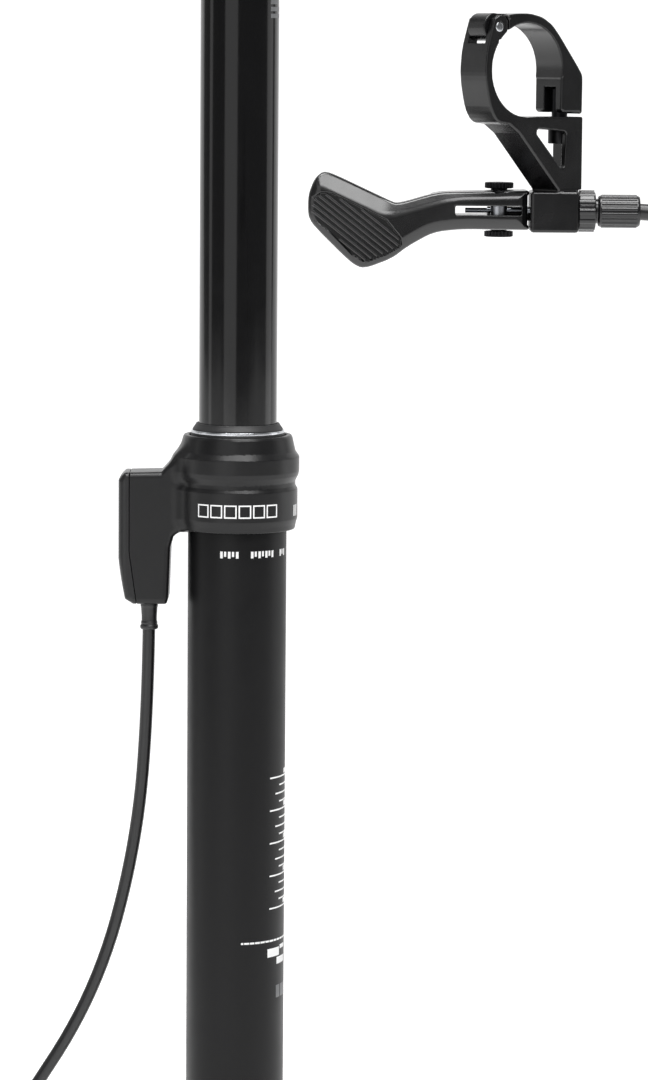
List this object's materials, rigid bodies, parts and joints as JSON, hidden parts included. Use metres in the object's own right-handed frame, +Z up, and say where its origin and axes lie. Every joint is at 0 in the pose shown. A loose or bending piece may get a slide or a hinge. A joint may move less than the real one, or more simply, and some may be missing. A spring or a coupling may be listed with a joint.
{
  "type": "height-adjustable seatpost",
  "caption": "Telescoping bicycle seatpost with a cable-released stanchion, two-bolt rail clamp and bar-mounted thumb lever joined by a housed cable.",
  "frame": {"origin": "on the post's axis at the collar's lower shoulder, where the post stops on the seat tube", "axes": "+Z up along the post, -X towards the front wheel on the cable boss's side, -Y towards the bicycle's left side"},
  "size_m": [0.2739, 0.3249, 0.553],
  "materials": {
    "black_anodised": "polished black hard anodising",
    "satin_black_tube": "satin black anodising",
    "black_collar": "bead-blasted black anodising",
    "black_forging": "satin black anodising",
    "black_remote": "satin black anodising",
    "black_lever": "semi-gloss black moulding",
    "black_adjuster": "semi-gloss black anodising",
    "steel": "plain steel",
    "silver_ring": "bright steel",
    "rubber_seal": "black rubber",
    "foam": "oiled foam",
    "bush_polymer": "bearing polymer",
    "aluminium": "turned aluminium",
    "brass": "brass",
    "housing_cover": "black extruded cover",
    "ferrule_plastic": "black moulded nylon"
  },
  "bodies": {
    "post": {"outer_tube": "satin_black_tube", "collar": "black_collar", "boss_cover": "black_collar", "wiper_seal": "rubber_seal", "wiper_ring": "silver_ring", "foam_ring": "foam", "seal_ring": "rubber_seal", "upper_bush": "bush_polymer", "bottom_plug": "aluminium", "end_cap": "ferrule_plastic", "valve_lever_pin": "steel", "shaft_nut": "steel", "cartridge_shaft": "steel", "piston": "aluminium", "top_out_bumper": "rubber_seal", "rocker_pin": "steel", "post_ferrule": "ferrule_plastic", "cable_housing": "housing_cover", "lever_ferrule": "ferrule_plastic", "remote_body": "black_remote", "pivot_bush": "bush_polymer", "pivot_bolt": "steel", "pivot_nut": "steel", "lever_spring": "steel", "hinge_pin": "steel", "clamp_bolt": "steel"},
    "stanchion": {"inner_tube": "black_anodised", "guide_keys": "brass", "lower_bush": "bush_polymer", "saddle_head": "black_forging", "cartridge_body": "aluminium", "cartridge_gland": "aluminium", "cartridge_clip": "steel"},
    "saddle_clamp": {"lower_cradle": "black_forging", "upper_clamp": "black_forging", "front_barrel_nut": "steel", "rear_barrel_nut": "steel"},
    "front_bolt_set": {"front_bolt": "steel", "front_washer": "steel"},
    "rear_bolt_set": {"rear_bolt": "steel", "rear_washer": "steel"},
    "thumb_lever": {"lever": "black_lever"},
    "lever_cable_end": {"cable_anchor": "steel", "anchor_screw": "steel", "inner_cable_lever": "steel"},
    "boss_rocker": {"rocker": "steel"},
    "boss_cable_end": {"cable_nipple": "steel", "inner_cable_post": "steel"},
    "rod_release": {"release_rod": "steel"},
    "bottom_lever": {"valve_lever": "steel"},
    "pin_valve": {"valve_pin": "steel"},
    "bar_clamp_door": {"clamp_door": "black_remote"},
    "adjuster": {"barrel_adjuster": "black_adjuster"},
    "adjuster_lock": {"lock_ring": "black_adjuster"}
  },
  "joints": [
    {"name": "stanchion_slide", "type": "slide", "parent": "post", "child": "stanchion", "axis": [0, 0, 1], "range_m": [-0.125, 0]},
    {"name": "saddle_tilt", "type": "hinge", "parent": "stanchion", "child": "saddle_clamp", "pos_m": [0, 0, 0.196], "axis": [0, 1, 0], "range_deg": [-8, 8]},
    {"name": "front_bolt_screw", "type": "slide", "parent": "saddle_clamp", "child": "front_bolt_set", "axis": [0, 0, 1], "range_m": [-0.0031, 0.0031]},
    {"name": "rear_bolt_screw", "type": "slide", "parent": "saddle_clamp", "child": "rear_bolt_set", "axis": [0, 0, 1], "range_m": [-0.0031, 0.0031]},
    {"name": "lever_press", "type": "hinge", "parent": "post", "child": "thumb_lever", "pos_m": [0.0691, -0.2719, 0.1105], "axis": [0, 0, -1], "range_deg": [0, 24], "stiffness_Nm_per_rad": 0.15, "springref_deg": -20.05},
    {"name": "lever_cable_pull", "type": "slide", "parent": "post", "child": "lever_cable_end", "axis": [-1, 0, 0], "range_m": [0, 0.0026]},
    {"name": "boss_cable_pull", "type": "slide", "parent": "post", "child": "boss_cable_end", "axis": [0, 0, -1], "range_m": [0, 0.0026], "stiffness_N_per_m": 10, "springref_m": -0.002},
    {"name": "rocker_turn", "type": "hinge", "parent": "post", "child": "boss_rocker", "pos_m": [-0.0205, 0, 0.013], "axis": [0, -1, 0], "range_deg": [0, 20.8]},
    {"name": "release_rod_lift", "type": "slide", "parent": "post", "child": "rod_release", "axis": [0, 0, 1], "range_m": [0, 0.0027]},
    {"name": "valve_lever_turn", "type": "hinge", "parent": "post", "child": "bottom_lever", "pos_m": [0.007, 0, -0.221], "axis": [0, 1, 0], "range_deg": [0, 7.7]},
    {"name": "valve_pin_lift", "type": "slide", "parent": "post", "child": "pin_valve", "axis": [0, 0, 1], "range_m": [0, 0.00094]},
    {"name": "clamp_door_swing", "type": "hinge", "parent": "post", "child": "bar_clamp_door", "pos_m": [0.06473, -0.29157, 0.1544], "axis": [0.6252, -0.7804, 0], "range_deg": [0, 60]},
    {"name": "adjuster_turn", "type": "hinge", "parent": "post", "child": "adjuster", "pos_m": [0.0971, -0.2779, 0.1105], "axis": [1, 0, 0], "continuous": true},
    {"name": "lock_ring_turn", "type": "hinge", "parent": "post", "child": "adjuster_lock", "pos_m": [0.0901, -0.2779, 0.1105], "axis": [1, 0, 0], "continuous": true}
  ],
  "couplings": [
    {"joint": "front_bolt_screw", "follows": "saddle_tilt", "m_per_rad": -0.022},
    {"joint": "rear_bolt_screw", "follows": "saddle_tilt", "m_per_rad": 0.022},
    {"joint": "lever_cable_pull", "follows": "lever_press", "m_per_rad": 0.006},
    {"joint": "boss_cable_pull", "follows": "lever_press", "m_per_rad": 0.006},
    {"joint": "rocker_turn", "follows": "lever_press", "ratio": 0.85714},
    {"joint": "release_rod_lift", "follows": "lever_press", "m_per_rad": 0.006356},
    {"joint": "valve_lever_turn", "follows": "lever_press", "ratio": 0.31644},
    {"joint": "valve_pin_lift", "follows": "lever_press", "m_per_rad": 0.002215}
  ]
}
